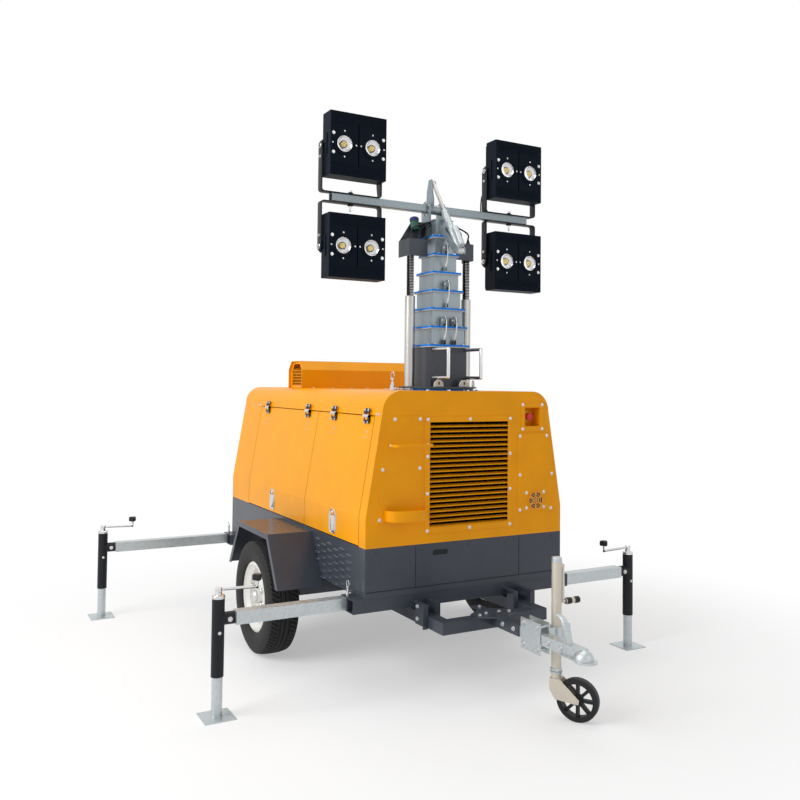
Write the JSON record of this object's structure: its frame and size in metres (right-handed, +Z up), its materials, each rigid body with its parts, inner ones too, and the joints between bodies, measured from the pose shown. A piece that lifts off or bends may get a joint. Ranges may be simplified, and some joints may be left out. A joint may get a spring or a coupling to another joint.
{
  "type": "towed mobile light tower",
  "caption": "Towed light tower with canopy, telescopic mast, floodlights on a tilting bar, swing-down jacks, road wheels and a jockey wheel.",
  "frame": {"origin": "centre of the part's footprint on the ground, with jacks out and mast down", "axes": "+X forwards to the tow coupler, +Y to the left, +Z up"},
  "size_m": [3.162, 3.196, 3.038],
  "materials": {
    "canopy_paint": "satin powder coat",
    "slate_paint": "satin powder coat",
    "black_paint": "satin powder coat",
    "galvanised": "zinc coated, slightly mottled",
    "stainless": "brushed along its length",
    "blue_plate": "satin paint on metal plate",
    "tyre": "matt rubber",
    "rim_paint": "gloss paint",
    "cream_paint": "satin paint",
    "cable_rubber": "matt rubber",
    "red_lens": "gloss moulded",
    "wheel_plastic": "moulded, matt"
  },
  "bodies": {
    "trailer": {"chassis": "slate_paint", "lower_body": "slate_paint", "canopy": "canopy_paint", "front_louvre": "canopy_paint", "front_covers": "canopy_paint", "stop_box": "canopy_paint", "cable_hooks": "canopy_paint", "rear_cover": "canopy_paint", "roof_duct": "canopy_paint", "roof_ring": "blue_plate", "engine": "black_paint", "fender_right": "slate_paint", "fender_left": "slate_paint", "axle": "slate_paint", "drawbar_frame": "slate_paint", "tow_tube": "galvanised", "coupler": "galvanised", "jockey_clamp": "galvanised", "tail_lamps": "red_lens"},
    "door_right_front": {"door_right_front": "canopy_paint"},
    "door_right_rear": {"door_right_rear": "canopy_paint"},
    "door_left_front": {"door_left_front": "canopy_paint"},
    "door_left_rear": {"door_left_rear": "canopy_paint"},
    "wheel_right": {"tyre_right": "tyre", "rim_right": "rim_paint"},
    "wheel_left": {"tyre_left": "tyre", "rim_left": "rim_paint"},
    "beam_front_right": {"beam_front_right": "galvanised"},
    "jack_front_right": {"jack_front_right": "black_paint"},
    "leg_front_right": {"leg_front_right": "galvanised"},
    "beam_front_left": {"beam_front_left": "galvanised"},
    "jack_front_left": {"jack_front_left": "black_paint"},
    "leg_front_left": {"leg_front_left": "galvanised"},
    "beam_rear_right": {"beam_rear_right": "galvanised"},
    "jack_rear_right": {"jack_rear_right": "black_paint"},
    "leg_rear_right": {"leg_rear_right": "galvanised"},
    "beam_rear_left": {"beam_rear_left": "galvanised"},
    "jack_rear_left": {"jack_rear_left": "black_paint"},
    "leg_rear_left": {"leg_rear_left": "galvanised"},
    "jockey": {"jockey_tube": "cream_paint"},
    "jockey_leg": {"jockey_leg": "galvanised"},
    "jockey_fork": {"jockey_fork": "cream_paint"},
    "jockey_wheel": {"jockey_wheel": "wheel_plastic"},
    "mast_base": {"mast_base": "slate_paint", "cable_tubes": "stainless", "curly_cables": "cable_rubber"},
    "mast_top": {"mast_section_7": "galvanised"},
    "mast_1": {"mast_section_1": "galvanised"},
    "mast_2": {"mast_section_2": "galvanised"},
    "mast_3": {"mast_section_3": "galvanised"},
    "mast_4": {"mast_section_4": "galvanised"},
    "mast_5": {"mast_section_5": "galvanised"},
    "mast_6": {"mast_section_6": "galvanised"},
    "lamp_bar": {"lamp_bar": "galvanised"},
    "actuator_body": {"actuator_body": "galvanised"},
    "actuator_rod": {"actuator_rod": "stainless"},
    "lamp_upper_right": {"lamp_upper_right": "black_paint"},
    "lamp_lower_right": {"lamp_lower_right": "black_paint"},
    "lamp_upper_left": {"lamp_upper_left": "black_paint"},
    "lamp_lower_left": {"lamp_lower_left": "black_paint"}
  },
  "joints": [
    {"name": "door_right_front_hinge", "type": "hinge", "parent": "trailer", "child": "door_right_front", "pos_m": [0.165, -0.54884, 1.4], "axis": [-1, 0, 0], "range_deg": [0, 80]},
    {"name": "door_right_rear_hinge", "type": "hinge", "parent": "trailer", "child": "door_right_rear", "pos_m": [-0.694, -0.54884, 1.4], "axis": [-1, 0, 0], "range_deg": [0, 80]},
    {"name": "door_left_front_hinge", "type": "hinge", "parent": "trailer", "child": "door_left_front", "pos_m": [0.165, 0.54884, 1.4], "axis": [1, 0, 0], "range_deg": [0, 80]},
    {"name": "door_left_rear_hinge", "type": "hinge", "parent": "trailer", "child": "door_left_rear", "pos_m": [-0.694, 0.54884, 1.4], "axis": [1, 0, 0], "range_deg": [0, 80]},
    {"name": "wheel_right_spin", "type": "hinge", "parent": "trailer", "child": "wheel_right", "pos_m": [-0.328, -0.8, 0.325], "axis": [0, 1, 0], "continuous": true},
    {"name": "wheel_left_spin", "type": "hinge", "parent": "trailer", "child": "wheel_left", "pos_m": [-0.328, 0.8, 0.325], "axis": [0, 1, 0], "continuous": true},
    {"name": "beam_front_right_slide", "type": "slide", "parent": "trailer", "child": "beam_front_right", "axis": [0, 1, 0], "range_m": [0, 0.493]},
    {"name": "jack_front_right_swing", "type": "hinge", "parent": "beam_front_right", "child": "jack_front_right", "pos_m": [0.485, -1.333, 0.455], "axis": [0, -1, 0], "range_deg": [0, 90]},
    {"name": "leg_front_right_slide", "type": "slide", "parent": "jack_front_right", "child": "leg_front_right", "axis": [0, 0, 1], "range_m": [0, 0.17]},
    {"name": "beam_front_left_slide", "type": "slide", "parent": "trailer", "child": "beam_front_left", "axis": [0, -1, 0], "range_m": [0, 0.341]},
    {"name": "jack_front_left_swing", "type": "hinge", "parent": "beam_front_left", "child": "jack_front_left", "pos_m": [0.56, 1.181, 0.455], "axis": [0, -1, 0], "range_deg": [0, 90]},
    {"name": "leg_front_left_slide", "type": "slide", "parent": "jack_front_left", "child": "leg_front_left", "axis": [0, 0, 1], "range_m": [0, 0.17]},
    {"name": "beam_rear_right_slide", "type": "slide", "parent": "trailer", "child": "beam_rear_right", "axis": [0, 1, 0], "range_m": [0, 0.683]},
    {"name": "jack_rear_right_swing", "type": "hinge", "parent": "beam_rear_right", "child": "jack_rear_right", "pos_m": [-1.506, -1.523, 0.455], "axis": [0, 1, 0], "range_deg": [0, 90]},
    {"name": "leg_rear_right_slide", "type": "slide", "parent": "jack_rear_right", "child": "leg_rear_right", "axis": [0, 0, 1], "range_m": [0, 0.17]},
    {"name": "beam_rear_left_slide", "type": "slide", "parent": "trailer", "child": "beam_rear_left", "axis": [0, -1, 0], "range_m": [0, 0.683]},
    {"name": "jack_rear_left_swing", "type": "hinge", "parent": "beam_rear_left", "child": "jack_rear_left", "pos_m": [-1.431, 1.523, 0.455], "axis": [0, 1, 0], "range_deg": [0, 90]},
    {"name": "leg_rear_left_slide", "type": "slide", "parent": "jack_rear_left", "child": "leg_rear_left", "axis": [0, 0, 1], "range_m": [0, 0.17]},
    {"name": "jockey_clamp_slide", "type": "slide", "parent": "trailer", "child": "jockey", "axis": [0, 0, 1], "range_m": [0, 0.1]},
    {"name": "jockey_leg_slide", "type": "slide", "parent": "jockey", "child": "jockey_leg", "axis": [0, 0, -1], "range_m": [0, 0.2]},
    {"name": "jockey_swivel", "type": "hinge", "parent": "jockey_leg", "child": "jockey_fork", "pos_m": [1.217, 0.092, 0.19], "axis": [0, 0, 1], "continuous": true},
    {"name": "jockey_wheel_spin", "type": "hinge", "parent": "jockey_fork", "child": "jockey_wheel", "pos_m": [1.30506, 0.14919, 0.1], "axis": [-0.5446, 0.8387, 0], "continuous": true},
    {"name": "mast_turn", "type": "hinge", "parent": "trailer", "child": "mast_base", "pos_m": [0.264, 0, 1.55], "axis": [0, 0, 1], "range_deg": [-170, 170]},
    {"name": "mast_raise", "type": "slide", "parent": "mast_base", "child": "mast_top", "axis": [0, 0, 1], "range_m": [0, 6.3], "deforming": ["curly_cables"]},
    {"name": "mast_1_raise", "type": "slide", "parent": "mast_base", "child": "mast_1", "axis": [0, 0, 1], "range_m": [0, 0.901]},
    {"name": "mast_2_raise", "type": "slide", "parent": "mast_base", "child": "mast_2", "axis": [0, 0, 1], "range_m": [0, 1.801]},
    {"name": "mast_3_raise", "type": "slide", "parent": "mast_base", "child": "mast_3", "axis": [0, 0, 1], "range_m": [0, 2.701]},
    {"name": "mast_4_raise", "type": "slide", "parent": "mast_base", "child": "mast_4", "axis": [0, 0, 1], "range_m": [0, 3.601]},
    {"name": "mast_5_raise", "type": "slide", "parent": "mast_base", "child": "mast_5", "axis": [0, 0, 1], "range_m": [0, 4.501]},
    {"name": "mast_6_raise", "type": "slide", "parent": "mast_base", "child": "mast_6", "axis": [0, 0, 1], "range_m": [0, 5.401]},
    {"name": "lamp_bar_tilt", "type": "hinge", "parent": "mast_top", "child": "lamp_bar", "pos_m": [0.202, 0, 2.588], "axis": [0, 1, 0], "range_deg": [0, 60]},
    {"name": "actuator_swing", "type": "hinge", "parent": "mast_top", "child": "actuator_body", "pos_m": [0.488, 0, 2.311], "axis": [0, 1, 0], "range_deg": [-1, 30]},
    {"name": "actuator_stroke", "type": "slide", "parent": "actuator_body", "child": "actuator_rod", "axis": [-0.5564, 0, 0.8309], "range_m": [-0.14, 0.002]},
    {"name": "lamp_upper_right_tilt", "type": "hinge", "parent": "lamp_bar", "child": "lamp_upper_right", "pos_m": [0.202, -0.54, 2.864], "axis": [0, 1, 0], "range_deg": [-60, 60]},
    {"name": "lamp_lower_right_tilt", "type": "hinge", "parent": "lamp_bar", "child": "lamp_lower_right", "pos_m": [0.202, -0.54, 2.312], "axis": [0, 1, 0], "range_deg": [-60, 60]},
    {"name": "lamp_upper_left_tilt", "type": "hinge", "parent": "lamp_bar", "child": "lamp_upper_left", "pos_m": [0.202, 0.54, 2.864], "axis": [0, 1, 0], "range_deg": [-60, 60]},
    {"name": "lamp_lower_left_tilt", "type": "hinge", "parent": "lamp_bar", "child": "lamp_lower_left", "pos_m": [0.202, 0.54, 2.312], "axis": [0, 1, 0], "range_deg": [-60, 60]}
  ],
  "couplings": [
    {"joint": "mast_1_raise", "follows": "mast_raise", "ratio": 0.14286},
    {"joint": "mast_2_raise", "follows": "mast_raise", "ratio": 0.28571},
    {"joint": "mast_3_raise", "follows": "mast_raise", "ratio": 0.42857},
    {"joint": "mast_4_raise", "follows": "mast_raise", "ratio": 0.57143},
    {"joint": "mast_5_raise", "follows": "mast_raise", "ratio": 0.71429},
    {"joint": "mast_6_raise", "follows": "mast_raise", "ratio": 0.85714},
    {"joint": "actuator_swing", "follows": "lamp_bar_tilt", "ratio": 0.19826},
    {"joint": "actuator_stroke", "follows": "lamp_bar_tilt", "m_per_rad": -0.12903}
  ]
}
